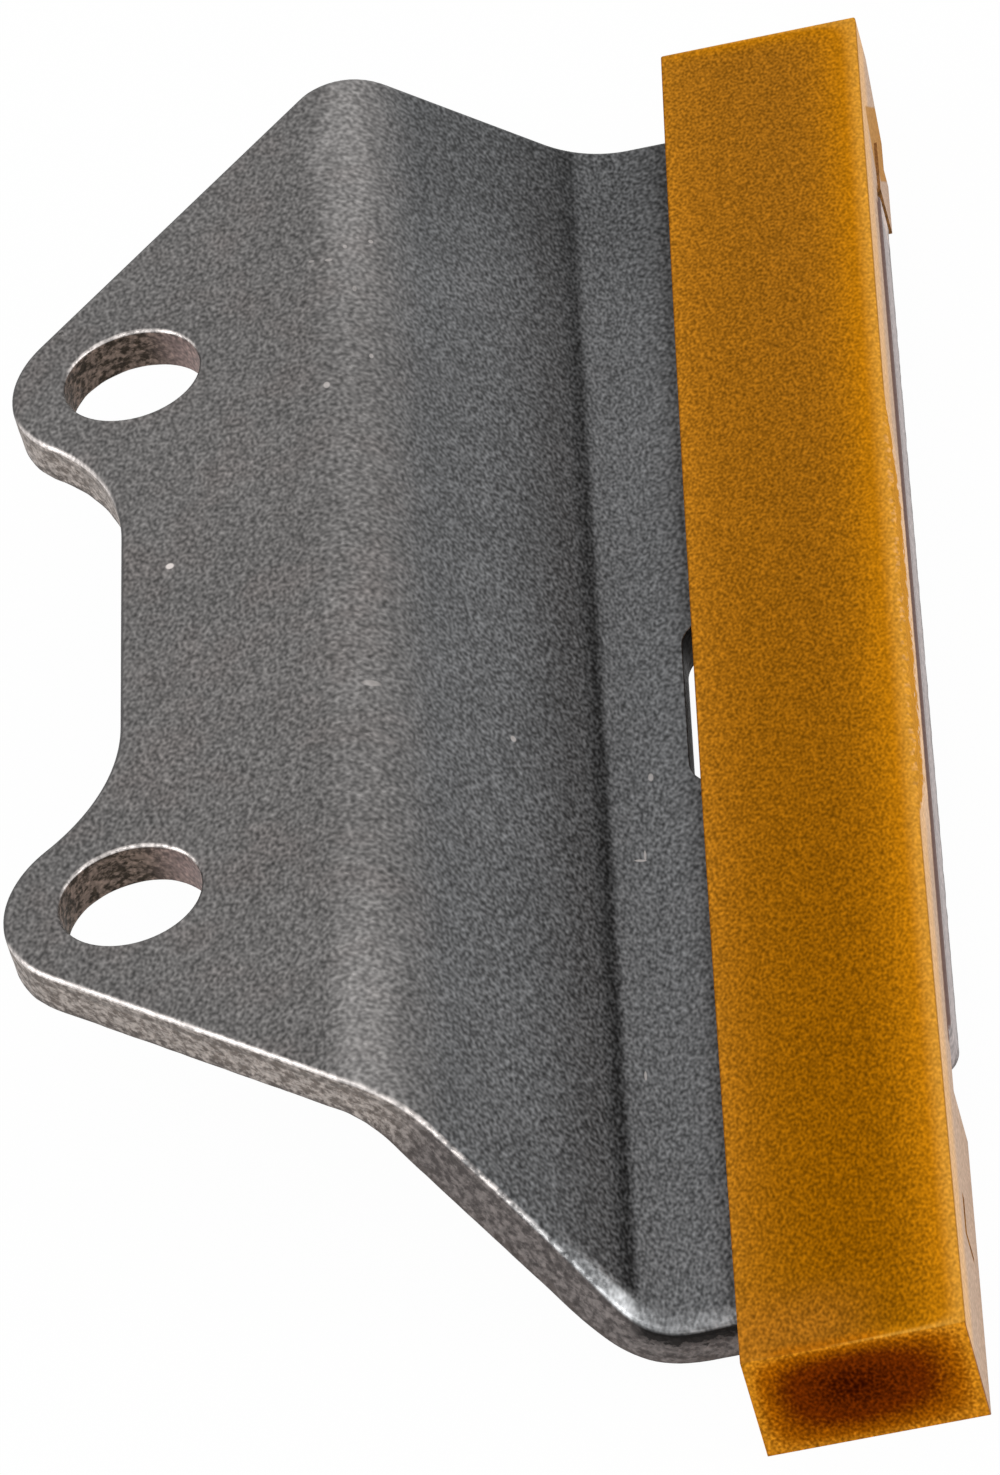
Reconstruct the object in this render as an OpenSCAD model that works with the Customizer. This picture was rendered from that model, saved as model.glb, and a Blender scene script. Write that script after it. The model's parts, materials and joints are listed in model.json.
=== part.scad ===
// Timing chain guide: a joggled steel bracket that carries a moulded nylon shoe.
// The origin is midway between the bolt holes, on the seat face under the pad.
// X runs from the bolts to the shoe, Y along the shoe and Z along the bolts.

/* [Bolt holes] */

// Diameter of each bolt clearance hole
hole_d = 9; // [6.4:0.1:11]
// Distance between the two bolt hole centres
hole_pitch = 52; // [44:0.5:70]
// Width of the steel ring around each bolt hole
ear_wall = 3.5; // [2.5:0.1:6]

/* [Bracket sheet] */

// Thickness of the steel sheet
sheet_t = 3; // [2:0.1:4]
// Depth of the joggle from the pad down to the flange
joggle_drop = 11; // [8:0.1:14]
// Angle of both bends of the joggle
bend_angle = 38; // [30:0.5:50]
// Inner radius of both bends
bend_r = 8.5; // [5:0.1:10]
// Flat length of the pad from the bolt line to the first bend
pad_flat = 10.35; // [9:0.05:14]
// Share of the thickness at which the sheet keeps its length in a bend
bend_k = 0.45; // [0.33:0.01:0.5]

/* [Bracket outline] */

// Distance of the straight bottom of the notch from the bolt line
notch_x = -0.7; // [-2:0.1:2]
// Length of the straight bottom of the notch between the ears
notch_straight = 19; // [10:0.5:24]
// Angle of the near edge against X in the flat blank
near_angle = 38.2; // [30:0.1:44]
// Radius of the corner between the near edge and the flange end
near_corner_r = 6; // [2:0.5:8]
// Distance from the bolt line to the sharp far corner of the pad
far_corner_x = 13.2; // [8:0.1:18]
// Radius of the far corner of the pad
far_corner_r = 4; // [2:0.5:8]

/* [Flange edge] */

// Amount by which the flange stands proud of the shoe's side
flange_proud = 0.15; // [0:0.05:0.5]
// Amount by which the end tongues are cut back from the shoe's side
tongue_inset = 2.5; // [1.5:0.1:4]
// Gap along the shoe between the near end block and the flange's shoulder
near_clear = 4.4; // [3:0.1:7]
// Gap along the shoe between the far end block and the flange's shoulder
far_clear = 0.5; // [0.4:0.1:5]
// Radius of the outer corner of the near shoulder
near_shoulder_r = 2.3; // [1:0.1:3.5]
// Radius of the outer corner of the far shoulder
far_shoulder_r = 0.8; // [0.5:0.1:3.5]
// Radius of the inner corner beside each tongue
tongue_r = 0.35; // [0.2:0.05:1]
// Distance from the bolt pattern's centre to the window's middle, toward the near end
window_y = 4.5; // [2:0.1:7]
// Length of the window for the shoe's tab
window_l = 16.7; // [10:0.1:24]
// Width of the window for the shoe's tab
window_w = 9; // [6:0.5:10]
// Amount by which the window reaches out past the shoe on the pad's side
window_out = 1.5; // [0.5:0.1:2.5]
// Radius of the window's corners
window_r = 2.5; // [0.5:0.1:3]

/* [Shoe] */

// Length of the shoe
shoe_l = 129; // [115:0.5:145]
// Width of the running face
shoe_w = 13.25; // [10:0.25:18]
// Width of the flat strip of flange between the second bend and the shoe
strip_w = 3.1; // [2:0.1:6]
// Distance from the bolt pattern's centre to the shoe's near end
shoe_near = 69.5; // [64:0.25:76]
// Thickness of the running layer at the shoe's ends
layer_t = 3.5; // [2.5:0.1:5]
// Rise of the running face at mid length
crown = 1.5; // [0.5:0.1:3]
// Thickness of the lips under the flange
lip_t = 1.15; // [0.8:0.05:2]
// Length of the near end block
near_block = 24; // [18:0.5:28]
// Length of the far end block
far_block = 14.3; // [10:0.1:16]
// Thickness of the near block's end wall
near_wall = 7.65; // [4:0.05:10]
// Thickness of the far block's end wall
far_wall = 4.55; // [2:0.05:6]
// Chamfer under the shoe's far end
far_chamfer = 4.2; // [1:0.1:5]
// Clearance between the shoe and the sheet edges it holds
fit_gap = 0.1; // [0.05:0.05:0.3]

/* [Shoe clips] */

// Length by which the tab is shorter than the window at each end
tab_play = 0.5; // [0.1:0.1:1.5]
// Reach of the tab's hook under the flange
hook_reach = 1.2; // [0.5:0.1:2]
// Width of the relief slit in the near block's side
slit_w = 0.4; // [0.2:0.05:0.8]
// Depth of the relief slit
slit_deep = 0.8; // [0.4:0.1:1.5]
// Length of the slit along the shoe
slit_run = 3.4; // [2:0.1:6]
// Drop of the slit down the side
slit_drop = 2.4; // [1:0.1:3]
// Distance from the shoe's near end to the slit
slit_y = 11.4; // [8:0.1:14]
// Thickness of the raised cheek on the far block's side
cheek_t = 0.2; // [0.1:0.05:0.8]
// Length of the cheek from the far block's inner end
cheek_l = 5.2; // [3:0.1:8]
// Distance from the seat on the flange down to the cheek's top
cheek_below = 0.4; // [0.2:0.1:1]

/* [Hidden] */

fine = 96;
line_steps = 16;
corner_steps = 10;
crown_steps = 32;
// Height of the upright cutting shapes, and the amount by which a shape runs past another
reach = 200;
past = 1.5;

// Fold of the sheet in side view
outer_r = bend_r + sheet_t;
neutral_r = bend_r + bend_k * sheet_t;
half_tan = tan(bend_angle / 2);
corner2 = pad_flat + outer_r * half_tan + joggle_drop / tan(bend_angle);
bend2 = corner2 + bend_r * half_tan;
web_s = joggle_drop / sin(bend_angle) - (outer_r + bend_r) * half_tan;
arc_s = neutral_r * bend_angle * PI / 180;
flange_top = sheet_t - joggle_drop;
flange_low = flange_top - sheet_t;
lip_z = flange_low - lip_t;

// Places in plan that the shoe and the flange share
shoe_x = bend2 + strip_w;
side_x = shoe_x + shoe_w;
shoe_far = shoe_l - shoe_near;
flange_near = shoe_near - near_wall - fit_gap;
flange_far = shoe_far - far_wall - fit_gap;
near_shoulder = shoe_near - near_block - near_clear;
far_shoulder = shoe_far - far_block - far_clear;
flange_x = side_x + flange_proud;
tongue_x = side_x - tongue_inset;
fillet_r = min(tongue_r, far_clear - fit_gap);
near_r = min(near_shoulder_r, flange_x - tongue_x - fillet_r);
far_r = min(far_shoulder_r, flange_x - tongue_x - fillet_r);
window_x = shoe_x - window_out;
round_r = min(window_r, (window_w - window_out) / 2 - 2 * fit_gap);
shoe_mid = shoe_l / 2 - shoe_near;
// The far chamfer leaves a wall under the tongue's end
chamfer = min(far_chamfer, far_wall - fit_gap);
crown_r = (pow(shoe_l / 2, 2) + pow(crown, 2)) / (2 * crown);

// Ears and the notch between them
half_pitch = hole_pitch / 2;
ear_r = hole_d / 2 + ear_wall;
notch_dy = half_pitch - notch_straight / 2;
notch_r = (pow(notch_dy, 2) - pow(ear_r, 2) + pow(notch_x, 2)) / (2 * (ear_r + notch_x));

// Straight edges that leave the ears, and the far corner of the pad
near_tan = [-ear_r * sin(near_angle), -half_pitch - ear_r * cos(near_angle)];
far_gap = [far_corner_x, flange_far - half_pitch];
far_angle = atan2(far_gap[1], far_gap[0]) - asin(ear_r / norm(far_gap));
far_dir = [cos(far_angle), sin(far_angle)];
far_tan = [-ear_r * sin(far_angle), half_pitch + ear_r * cos(far_angle)];
far_cut = far_corner_r * tan(far_angle / 2);
far_mid = [far_corner_x + far_cut, flange_far - far_corner_r];
far_foot = [far_corner_x, flange_far] - far_cut * far_dir;

// Height of the running face over the seat at a distance y from mid length
function crown_z(y) = layer_t + crown - crown_r + sqrt(pow(crown_r, 2) - pow(y, 2));

// Height of the near edge along Y at a developed length s, counted from the first bend
function near_y(s) = near_tan[1] - (pad_flat + s - near_tan[0]) * tan(near_angle);

// Place of a point of the folded sheet from its developed length s and its height n above the underside
function fold(s, n) =
    s <= 0 ? [pad_flat + s, n]
    : s <= arc_s ? fold_down(s / neutral_r * 180 / PI, n)
    : s <= arc_s + web_s ? fold_down(bend_angle, n) + (s - arc_s) * [cos(bend_angle), -sin(bend_angle)]
    : s <= 2 * arc_s + web_s ? fold_up(bend_angle - (s - arc_s - web_s) / neutral_r * 180 / PI, n)
    : [bend2 + s - 2 * arc_s - web_s, flange_low + n];
function fold_down(a, n) = [pad_flat + (bend_r + n) * sin(a), (bend_r + n) * cos(a) - bend_r];
function fold_up(a, n) = [bend2 - (outer_r - n) * sin(a), flange_top + bend_r - (outer_r - n) * cos(a)];

// Near edge of the flat blank from the pad to the flange end, as developed length and Y
near_lead = 1;
near_meet = (near_tan[1] + flange_near) / tan(near_angle) - pad_flat + near_tan[0];
near_back = near_corner_r * tan(near_angle / 2);
near_start = -2 * near_lead;
near_stop = near_meet - near_back * cos(near_angle);
near_turn = near_meet + near_back;
near_line = [for (i = [0 : line_steps])
    let (s = near_start + (near_stop - near_start) * i / line_steps)
    [s, near_y(s)]];
near_arc = [for (i = [1 : corner_steps])
    let (a = near_angle * (1 - i / corner_steps))
    [near_turn - near_corner_r * sin(a), near_corner_r * (1 - cos(a)) - flange_near]];
near_path = concat(near_line, near_arc);

// Part of a ring between two radii, from straight up over to one side
module ring_sector(r_out, r_in, angle) {
    intersection() {
        difference() {
            circle(r = r_out, $fn = 4 * fine);
            circle(r = r_in, $fn = 4 * fine);
        }
        polygon([[0, 0], [0, 2 * r_out], 2 * r_out * [sin(angle), cos(angle)] / cos(angle)]);
    }
}

// Side view of the sheet: pad, first bend, slope, second bend, flange
module side_profile() {
    translate([pad_flat, -bend_r]) ring_sector(outer_r, bend_r, bend_angle);
    translate([bend2, flange_top + bend_r]) rotate(180) ring_sector(outer_r, bend_r, bend_angle);
    polygon([
        [-ear_r - past, 0], [pad_flat + bend_r * half_tan, 0],
        fold_down(bend_angle, 0), fold_up(bend_angle, 0),
        [bend2, flange_low], [flange_x + past, flange_low],
        [flange_x + past, flange_top], [corner2, flange_top],
        fold_up(bend_angle, sheet_t), fold_down(bend_angle, sheet_t),
        [pad_flat, sheet_t], [-ear_r - past, sheet_t]
    ]);
}

// Upright post through the sheet at a place in plan
module post(at, r) {
    translate(at) cylinder(r = r, h = reach, center = true, $fn = fine);
}

// Fill between an ear and the notch, up to the large fillet that blends them
module ear_web() {
    fillet_at = [notch_x - notch_r, notch_straight / 2];
    difference() {
        linear_extrude(reach, center = true)
            polygon([[0, half_pitch], fillet_at, [ear_r, notch_straight / 2]]);
        translate(fillet_at) cylinder(r = notch_r, h = 2 * reach, center = true, $fn = 2 * fine);
    }
}

// Fillet in the inner corner between a shoulder and its tongue
module tongue_fillet() {
    difference() {
        cube([2 * fillet_r, 2 * fillet_r, reach], center = true);
        translate([fillet_r, fillet_r]) cylinder(r = fillet_r, h = 2 * reach, center = true, $fn = fine);
    }
}

// Plan outline of the bracket as an upright prism, left open along the near edge where the sheet is folded
module plan_prism() {
    open_x = pad_flat - near_lead;
    post([0, half_pitch], ear_r);
    post([0, -half_pitch], ear_r);
    ear_web();
    mirror([0, 1, 0]) ear_web();
    post(far_mid, far_corner_r);
    post([flange_x - far_r, far_shoulder - far_r], far_r);
    post([flange_x - near_r, near_r - near_shoulder], near_r);
    translate([tongue_x, far_shoulder]) tongue_fillet();
    translate([tongue_x, -near_shoulder]) mirror([0, 1, 0]) tongue_fillet();
    linear_extrude(reach, center = true) polygon([
        [0, half_pitch], far_tan, far_foot, far_mid, [far_mid[0], flange_far],
        [tongue_x, flange_far], [tongue_x, far_shoulder],
        [flange_x - far_r, far_shoulder], [flange_x - far_r, far_shoulder - far_r],
        [flange_x, far_shoulder - far_r], [flange_x, near_r - near_shoulder],
        [flange_x - near_r, near_r - near_shoulder], [flange_x - near_r, -near_shoulder],
        [tongue_x, -near_shoulder], [tongue_x, -flange_near - past],
        [open_x, -flange_near - past], [open_x, near_y(-near_lead)], near_tan,
        [0, -half_pitch], [notch_x, -notch_straight / 2], [notch_x, notch_straight / 2]
    ]);
}

// Waste beside the near edge, square to the sheet all along the folds
module near_waste() {
    out_y = -flange_near - past;
    count = len(near_path);
    points = [for (p = near_path)
        let (top = fold(p[0], sheet_t + past), low = fold(p[0], -past))
        each [
            [top[0], p[1], top[1]], [low[0], p[1], low[1]],
            [low[0], out_y, low[1]], [top[0], out_y, top[1]]
        ]];
    inner = [for (i = [0 : count - 2])
        let (k = 4 * i)
        each [[k, k + 1, k + 4], [k + 1, k + 5, k + 4]]];
    low = [for (i = [0 : count - 2]) let (k = 4 * i) [k + 1, k + 2, k + 6, k + 5]];
    outer = [for (i = [0 : count - 2]) let (k = 4 * i) [k + 2, k + 3, k + 7, k + 6]];
    top = [for (i = [0 : count - 2]) let (k = 4 * i) [k + 3, k, k + 4, k + 7]];
    last = 4 * (count - 1);
    ends = [[3, 2, 1, 0], [last, last + 1, last + 2, last + 3]];
    polyhedron(points = points, faces = concat(inner, low, outer, top, ends), convexity = 6);
}

// Upright block with rounded corners in plan
module rounded_block(size, r) {
    for (x = [r, size[0] - r], y = [r, size[1] - r])
        translate([x, y]) cylinder(r = r, h = size[2], $fn = fine / 2);
    translate([r, 0]) cube([size[0] - 2 * r, size[1], size[2]]);
    translate([0, r]) cube([size[0], size[1] - 2 * r, size[2]]);
}

// Window for the shoe's tab
module window() {
    translate([window_x, -window_y - window_l / 2, flange_low - past])
        rounded_block([window_w, window_l, sheet_t + 2 * past], round_r);
}

// Stamped steel bracket in one piece
module bracket() {
    color([0.42, 0.42, 0.43])
        difference() {
            intersection() {
                translate([0, flange_far + past, 0])
                    rotate([90, 0, 0])
                        linear_extrude(flange_far + past + flange_near) side_profile();
                plan_prism();
            }
            near_waste();
            for (side = [-1, 1])
                translate([0, side * half_pitch, -past])
                    cylinder(d = hole_d, h = sheet_t + 2 * past, $fn = fine);
            window();
        }
}

// Block of the shoe between two Y values, from its lips up to the seat on the flange
module end_block(y0, y1) {
    translate([shoe_x, y0, lip_z]) cube([shoe_w, y1 - y0, flange_top - lip_z + past]);
}

// Waste under the shoe's far end
module far_waste() {
    translate([shoe_x - past, shoe_far, lip_z])
        rotate([90, 0, 90]) linear_extrude(shoe_w + 2 * past)
            polygon([[-chamfer - past, -past], [past, -past], [past, chamfer + past]]);
}

// Space for the flange and its tongue in an end block, open toward the pad
module tongue_space(y0, y1) {
    translate([shoe_x - past, y0, flange_low - fit_gap])
        cube([tongue_x + fit_gap - shoe_x + past, y1 - y0, sheet_t + fit_gap]);
}

// Tab through the window with a hook under the flange
module tab() {
    tab_l = window_l - 2 * tab_play;
    tab_x0 = shoe_x + fit_gap;
    tab_x1 = window_x + window_w - fit_gap;
    translate([tab_x0, -window_y - tab_l / 2, lip_z])
        rounded_block([tab_x1 - tab_x0, tab_l, flange_top - lip_z + past], round_r);
    translate([tab_x1, -window_y - tab_l / 2, lip_z])
        rotate([90, 0, 180]) mirror([1, 0, 0])
            linear_extrude(tab_l) polygon([
                [-past, 0], [hook_reach / 2, 0],
                [hook_reach, lip_t - fit_gap], [-past, lip_t - fit_gap]
            ]);
}

// Relief slit in the near block's side, along the seat and then down
module relief_slit() {
    slit_y0 = slit_y - shoe_near;
    translate([side_x - slit_deep, slit_y0, flange_top - slit_w])
        cube([slit_deep + past, slit_run, slit_w]);
    translate([side_x - slit_deep, slit_y0, flange_top - slit_drop])
        cube([slit_deep + past, slit_w, slit_drop]);
}

// Raised cheek on the far block's side
module side_cheek() {
    translate([side_x - past, shoe_far - far_block, lip_z])
        cube([past + cheek_t, cheek_l, flange_top - lip_z - cheek_below]);
}

// Side view of the running layer: flat seat, upright ends and a shallow arc on top
module layer_profile() {
    half = shoe_l / 2;
    arc = [for (i = [0 : crown_steps]) let (y = half - shoe_l * i / crown_steps) [y, crown_z(y)]];
    polygon(concat([[-half, 0], [half, 0]], arc));
}

// Moulded nylon shoe in one piece
module shoe() {
    color([0.78, 0.5, 0.1])
        difference() {
            union() {
                translate([shoe_x, shoe_mid, flange_top])
                    rotate([90, 0, 90]) linear_extrude(shoe_w) layer_profile();
                end_block(-shoe_near, near_block - shoe_near);
                end_block(shoe_far - far_block, shoe_far);
                tab();
                side_cheek();
            }
            tongue_space(-flange_near - fit_gap, near_block - shoe_near + past);
            tongue_space(shoe_far - far_block - past, flange_far + fit_gap);
            far_waste();
            relief_slit();
        }
}

bracket();
shoe();
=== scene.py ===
import json
import math

import bmesh
import bpy
import numpy as np
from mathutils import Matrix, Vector, noise
from mathutils.geometry import delaunay_2d_cdt


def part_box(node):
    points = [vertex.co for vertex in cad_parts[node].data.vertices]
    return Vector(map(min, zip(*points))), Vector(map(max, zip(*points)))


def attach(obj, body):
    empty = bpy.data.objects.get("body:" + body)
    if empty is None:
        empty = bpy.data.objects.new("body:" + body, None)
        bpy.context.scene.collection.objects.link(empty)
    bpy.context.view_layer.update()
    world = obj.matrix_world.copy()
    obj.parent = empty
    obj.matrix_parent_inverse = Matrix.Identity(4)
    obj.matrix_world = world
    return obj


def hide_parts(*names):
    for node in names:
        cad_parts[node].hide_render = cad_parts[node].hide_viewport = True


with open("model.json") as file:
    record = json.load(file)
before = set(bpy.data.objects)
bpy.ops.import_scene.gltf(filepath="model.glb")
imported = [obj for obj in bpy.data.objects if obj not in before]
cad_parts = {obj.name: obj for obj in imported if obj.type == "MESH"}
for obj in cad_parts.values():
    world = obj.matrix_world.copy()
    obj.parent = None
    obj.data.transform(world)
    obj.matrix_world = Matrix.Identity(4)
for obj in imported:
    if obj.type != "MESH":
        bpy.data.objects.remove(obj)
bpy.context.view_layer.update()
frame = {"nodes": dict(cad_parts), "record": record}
mm = 0.001

bracketLow, bracketHigh = [Vector(corner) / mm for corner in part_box("bracket")]
shoeLow, shoeHigh = [Vector(corner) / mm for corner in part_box("shoe")]
boltDims = next(m for m in frame["record"]["mounts"] if m["name"] == "bolts")["dims"]
print("frame loaded, bracket", [round(v, 2) for v in bracketHigh - bracketLow])


# a shader socket that takes part in Python expressions
class Wire:
    def __init__(self, finish, socket):
        self.finish = finish
        self.socket = socket

    def math(self, operation, *others):
        values = {i: v for i, v in enumerate((self,) + others)}
        return self.finish.add("Math", {"operation": operation}, values)

    def __add__(self, other):
        return self.math("ADD", other)

    def __mul__(self, other):
        return self.math("MULTIPLY", other)

    def __sub__(self, other):
        return self.math("SUBTRACT", other)

    def __truediv__(self, other):
        return self.math("DIVIDE", other)

    def __pow__(self, other):
        return self.math("POWER", other)

    # the same with the socket on the right
    def reflected(self, operation, first):
        return self.finish.add("Math", {"operation": operation}, {0: first, 1: self})

    def __rsub__(self, other):
        return self.reflected("SUBTRACT", other)

    def __rtruediv__(self, other):
        return self.reflected("DIVIDE", other)

    def __rpow__(self, other):
        return self.reflected("POWER", other)

    __radd__ = __add__
    __rmul__ = __mul__

    def least(self, other):
        return self.math("MINIMUM", other)

    def most(self, other):
        return self.math("MAXIMUM", other)

    # 0 below low, 1 above high, with a soft S between them
    def step(self, low, high):
        settings = {"interpolation_type": "SMOOTHSTEP", "clamp": True}
        return self.finish.add("MapRange", settings, {0: self, 1: low, 2: high, 3: 0.0, 4: 1.0})

    # 1 below low, 0 above high
    def fade(self, low, high):
        return 1 - self.step(low, high)

    # 1 from low to high, falling to 0 at soft away from them
    def band(self, low, high, soft):
        return self.step(low - soft, low) * self.fade(high, high + soft)

    # 1 at 0, dying away over a length
    def decay(self, length):
        return (self.most(0.0) * (-1 / length)).math("EXPONENT")


# the node tree of a material or a world
class Finish:
    def __init__(self, owner):
        owner.use_nodes = True
        self.owner = owner
        self.tree = owner.node_tree
        self.tree.nodes.clear()

    # any node: its type, its settings, then the values or links of its sockets
    def add(self, kind, settings=None, values=None, output=0):
        made = self.tree.nodes.new("ShaderNode" + kind)
        for key, value in (settings or {}).items():
            setattr(made, key, value)
        for key, value in (values or {}).items():
            if isinstance(value, Wire):
                self.tree.links.new(value.socket, made.inputs[key])
            else:
                made.inputs[key].default_value = value
        return Wire(self, made.outputs[output]) if made.outputs else None

    def mix(self, factor, first, second):
        settings = {"data_type": "RGBA", "clamp_factor": True}
        return self.add("Mix", settings, {0: factor, 6: first, 7: second}, 2)

    def shaded(self, colour, factor):
        return self.add("VectorMath", {"operation": "SCALE"}, {0: colour, "Scale": factor})

    def stretched(self, place, factors):
        return self.add("VectorMath", {"operation": "MULTIPLY"}, {0: place, 1: factors})

    def noise(self, place, scale, detail, rough=0.5):
        values = {"Vector": place, "Scale": scale, "Detail": detail, "Roughness": rough}
        return self.add("TexNoise", {"noise_dimensions": "3D"}, values)

    # fine grain on axes that lie oblique to the part
    def grainOn(self, place, perMm):
        values = {"Vector": self.stretched(place, perMm), "Rotation": (0.5, 0.35, 0.6)}
        turned = self.add("VectorRotate", {"rotation_type": "EULER_XYZ"}, values)
        return self.noise(turned, 1.0, 0.0)

    def parts(self, place):
        split = self.add("SeparateXYZ", None, {0: place})
        return [Wire(self, socket) for socket in split.socket.node.outputs]

    def attribute(self, name):
        return self.add("Attribute", {"attribute_name": name}, None, "Vector")

    def coords(self, kind):
        return self.add("TexCoord", None, None, kind)

    def surface(self, **values):
        named = {key.replace("_", " "): value for key, value in values.items()}
        shader = self.add("BsdfPrincipled", None, named)
        self.add("OutputMaterial", None, {"Surface": shader})
        return self.owner


def srgb(red, green, blue):
    shares = [v / 255 for v in (red, green, blue)]
    linear = [v / 12.92 if v <= 0.04 else ((v + 0.055) / 1.055) ** 2.4 for v in shares]
    return (*linear, 1.0)


# sizes of the folded sheet in mm, the outer ones read from the frame
sheet = {
    "holeR": boltDims["hole_r_mm"],
    "halfPitch": boltDims["spacing_y_mm"] / 2,
    "earR": -bracketLow.x,
    "thick": bracketHigh.z,
    "flangeLow": bracketLow.z,
    "flangeX": bracketHigh.x,
    "near": -bracketLow.y,
    "far": bracketHigh.y,
    "bendX": 15.05,   # where the pad's and the slope's top planes meet, at y = 0
    "slopeX": 28.5,   # where the slope's and the flange's top planes meet, at y = 0
    "skew": (-0.0085, -0.005),   # the same two per mm of y
    "bendR": (4.8, 8.5),   # inner radius of the first and the second bend
    "bendK": 0.45,   # share of the thickness at which a bend keeps its length
    "easeLen": 4.0,   # run after the second bend in which its skew dies away
    "notchX": -0.7,
    "notchHalf": 9.5,
    "nearDeg": 39.1,
    "nearCornerR": 6.0,
    "farCornerX": 13.2,
    "farCornerR": 6.5,
    "tongueIn": 2.65,
    "nearShoulder": 41.1,
    "nearShoulderR": 2.3,
    "farShoulder": 44.7,
    "farShoulderR": 0.8,
    "tongueR": 0.35,
    "tongueEndR": 0.9,
    "window": (9.0, 16.7),
    "windowMid": -4.5,
    "windowOut": 1.5,
    "windowR": 2.5,
}

thick = sheet["thick"]
drop = -sheet["flangeLow"]
flangeTop = thick - drop
firstR, secondR = sheet["bendR"]
neutralR = [r + sheet["bendK"] * thick for r in sheet["bendR"]]


# angle and lengths of the fold at y
def foldSizes(y):
    meetX, endX = [sheet[key] + skew * y for key, skew in zip(("bendX", "slopeX"), sheet["skew"])]
    bend = math.atan2(drop, endX - meetX)
    halfTan = math.tan(bend / 2)
    padFlat = meetX - (firstR + thick) * halfTan
    webLen = drop / math.sin(bend) - (firstR + thick + secondR) * halfTan
    return bend, padFlat, neutralR[0] * bend, webLen, endX + secondR * halfTan


midBend, midFlat, midArc, midWeb, midFlange = foldSizes(0)
webEnd = midFlat + midArc + midWeb
lastArc = neutralR[1] * midBend
flatExtra = webEnd + lastArc - midFlange   # developed length less plan length on the flange
print("fold", round(math.degrees(midBend), 2), "degrees, pad flat to", round(midFlat, 2))


# place x and z, and cosine and sine of the turn, at developed length u, y and height n
def foldAt(u, y, n):
    bend, padFlat, arc, webLen, flangeStart = foldSizes(y)
    if u <= padFlat:
        return u, n, 1.0, 0.0
    if u <= webEnd:
        turn = min(u - padFlat, arc) / neutralR[0]
        along = max(0.0, u - padFlat - arc) * webLen / (webEnd - padFlat - arc)
        x = padFlat + (firstR + n) * math.sin(turn) + along * math.cos(turn)
        z = (firstR + n) * math.cos(turn) - firstR - along * math.sin(turn)
        return x, z, math.cos(turn), math.sin(turn)
    if u < webEnd + lastArc:
        turn = bend * (1 - (u - webEnd) / lastArc)
        upper = secondR + thick - n
        x = flangeStart - upper * math.sin(turn)
        z = flangeTop + secondR - upper * math.cos(turn)
        return x, z, math.cos(turn), math.sin(turn)
    ease = max(0.0, 1 - (u - webEnd - lastArc) / sheet["easeLen"])
    return u - flatExtra + (flangeStart - midFlange) * ease, sheet["flangeLow"] + n, 1.0, 0.0


def arcPoints(centre, radius, startDeg, endDeg, pitch=0.45):
    count = max(3, math.ceil(abs(math.radians(endDeg - startDeg)) * radius / pitch))
    angles = [math.radians(startDeg + (endDeg - startDeg) * i / count) for i in range(count + 1)]
    return [(centre[0] + radius * math.cos(a), centre[1] + radius * math.sin(a)) for a in angles]


# a closed outline with points no farther apart than the pitch
def spread(points, pitch=0.55):
    spreadOut = []
    for first, second in zip(points, points[1:] + points[:1]):
        length = math.dist(first, second)
        if length < 1e-4:
            continue
        count = max(1, math.ceil(length / pitch))
        for t in [i / count for i in range(count)]:
            spreadOut.append(tuple(a + (b - a) * t for a, b in zip(first, second)))
    return spreadOut


# outline of the flat blank, counterclockwise from the near ear
def blankOutline():
    half, ear, cornerR = sheet["halfPitch"], sheet["earR"], sheet["nearCornerR"]
    nearDeg = sheet["nearDeg"]
    nearRad = math.radians(nearDeg)
    rise, notchX = half - sheet["notchHalf"], sheet["notchX"]
    notchR = (rise ** 2 - ear ** 2 + notchX ** 2) / (2 * (ear + notchX))
    filletX = notchX - notchR
    filletDeg = math.degrees(math.atan2(rise, -filletX))
    tanX, tanY = -ear * math.sin(nearRad), -half - ear * math.cos(nearRad)
    cornerU = tanX + (tanY + sheet["near"]) / math.tan(nearRad) + cornerR * math.tan(nearRad / 2)
    gap = (sheet["farCornerX"], sheet["far"] - half)
    farDeg = math.degrees(math.atan2(gap[1], gap[0]) - math.asin(ear / math.hypot(*gap)))
    farX = sheet["farCornerX"] + sheet["farCornerR"] * math.tan(math.radians(farDeg / 2))
    flangeU = sheet["flangeX"] + flatExtra
    tongueU = flangeU - sheet["tongueIn"]
    nearR, farR, tongueR = sheet["nearShoulderR"], sheet["farShoulderR"], sheet["tongueR"]
    endR = sheet["tongueEndR"]
    nearY, farY = -sheet["nearShoulder"], sheet["farShoulder"]
    points = arcPoints((0, -half), ear, 180 - filletDeg, 270 - nearDeg)
    points += arcPoints((cornerU, cornerR - sheet["near"]), cornerR, 270 - nearDeg, 270)
    points += arcPoints((tongueU - endR, endR - sheet["near"]), endR, 270, 360, 0.25)
    points += arcPoints((tongueU + tongueR, nearY - tongueR), tongueR, 180, 90, 0.25)
    points += arcPoints((flangeU - nearR, nearY + nearR), nearR, 270, 360, 0.3)
    points += arcPoints((flangeU - farR, farY - farR), farR, 0, 90, 0.3)
    points += arcPoints((tongueU + tongueR, farY + tongueR), tongueR, 270, 180, 0.25)
    points += arcPoints((tongueU - endR, sheet["far"] - endR), endR, 0, 90, 0.25)
    points += arcPoints((farX, sheet["far"] - sheet["farCornerR"]), sheet["farCornerR"], 90, 90 + farDeg)
    points += arcPoints((0, half), ear, 90 + farDeg, 180 + filletDeg)
    points += arcPoints((filletX, sheet["notchHalf"]), notchR, filletDeg, 0)
    points += arcPoints((filletX, -sheet["notchHalf"]), notchR, 0, -filletDeg)
    return spread(points)


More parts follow.
